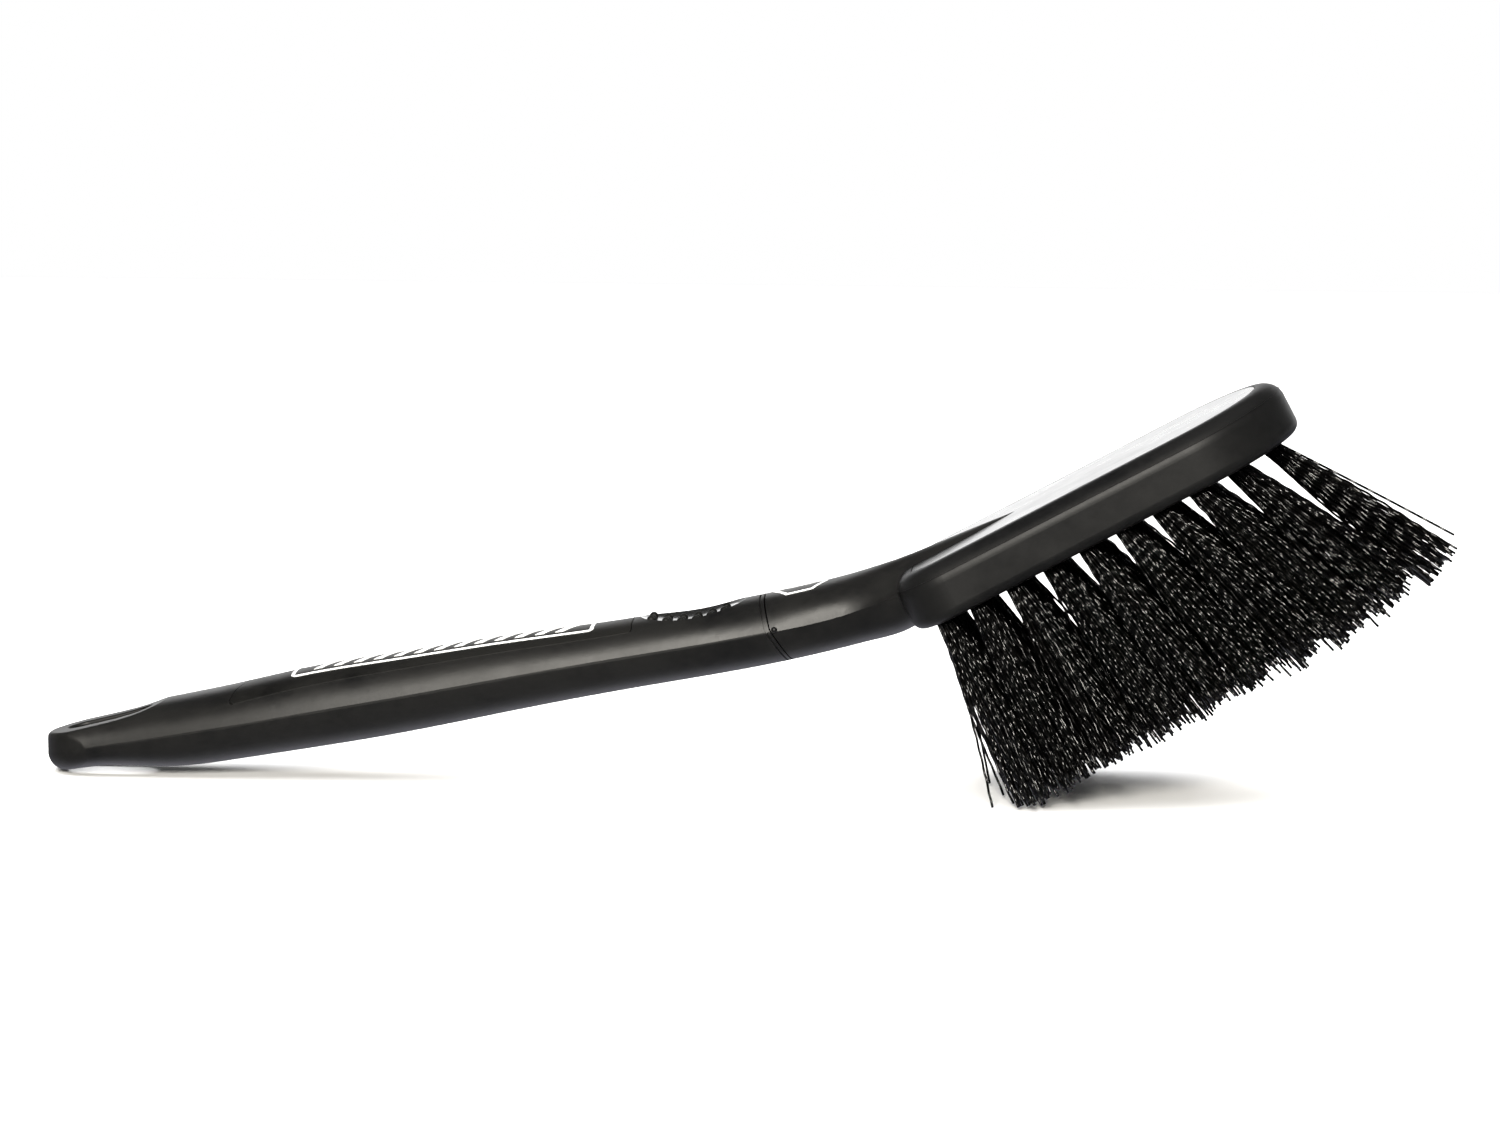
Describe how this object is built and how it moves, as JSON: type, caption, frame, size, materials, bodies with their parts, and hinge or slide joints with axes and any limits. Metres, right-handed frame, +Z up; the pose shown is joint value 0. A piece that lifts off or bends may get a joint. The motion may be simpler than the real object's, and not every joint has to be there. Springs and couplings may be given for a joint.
{
  "type": "wheel brush",
  "caption": "Hand wheel brush: tilted oval head with a fan of stiff bristle tufts, soft bumper rim, slim neck, soft grip with thumb rest and a hang slot.",
  "frame": {"origin": "middle of the bounding box at the surface the brush lies on", "axes": "+X from the hang loop to the toe of the head, +Z up, +Y to the left when looking from the hang loop to the toe"},
  "size_m": [0.3206, 0.0608, 0.0928],
  "materials": {
    "core_plastic": "satin",
    "grip_rubber": "matte",
    "bumper_rubber": "matte",
    "panel_plastic": "satin",
    "cover_plastic": "gloss",
    "pad_plastic": "gloss",
    "nub_rubber": "matte",
    "print_ink": "satin",
    "bristle": "satin",
    "anchor_steel": "satin"
  },
  "bodies": {
    "root": {"anchor_wires": "anchor_steel", "core": "core_plastic", "grip_inlay": "panel_plastic", "grip_print": "print_ink", "grip_sleeve": "grip_rubber", "head_bumper": "bumper_rubber", "head_cover": "cover_plastic", "neck_print": "print_ink", "thumb_nubs": "nub_rubber", "thumb_pad": "pad_plastic", "tuft_left_inner_01": "bristle", "tuft_left_inner_02": "bristle", "tuft_left_inner_03": "bristle", "tuft_left_inner_04": "bristle", "tuft_left_inner_05": "bristle", "tuft_left_inner_06": "bristle", "tuft_left_inner_07": "bristle", "tuft_left_inner_08": "bristle", "tuft_left_inner_09": "bristle", "tuft_left_outer_01": "bristle", "tuft_left_outer_02": "bristle", "tuft_left_outer_03": "bristle", "tuft_left_outer_04": "bristle", "tuft_left_outer_05": "bristle", "tuft_left_outer_06": "bristle", "tuft_left_outer_07": "bristle", "tuft_left_outer_08": "bristle", "tuft_middle_01": "bristle", "tuft_middle_02": "bristle", "tuft_middle_03": "bristle", "tuft_middle_04": "bristle", "tuft_middle_05": "bristle", "tuft_middle_06": "bristle", "tuft_middle_07": "bristle", "tuft_middle_08": "bristle", "tuft_middle_09": "bristle", "tuft_middle_10": "bristle", "tuft_right_inner_01": "bristle", "tuft_right_inner_02": "bristle", "tuft_right_inner_03": "bristle", "tuft_right_inner_04": "bristle", "tuft_right_inner_05": "bristle", "tuft_right_inner_06": "bristle", "tuft_right_inner_07": "bristle", "tuft_right_inner_08": "bristle", "tuft_right_inner_09": "bristle", "tuft_right_outer_01": "bristle", "tuft_right_outer_02": "bristle", "tuft_right_outer_03": "bristle", "tuft_right_outer_04": "bristle", "tuft_right_outer_05": "bristle", "tuft_right_outer_06": "bristle", "tuft_right_outer_07": "bristle", "tuft_right_outer_08": "bristle"}
  },
  "joints": []
}
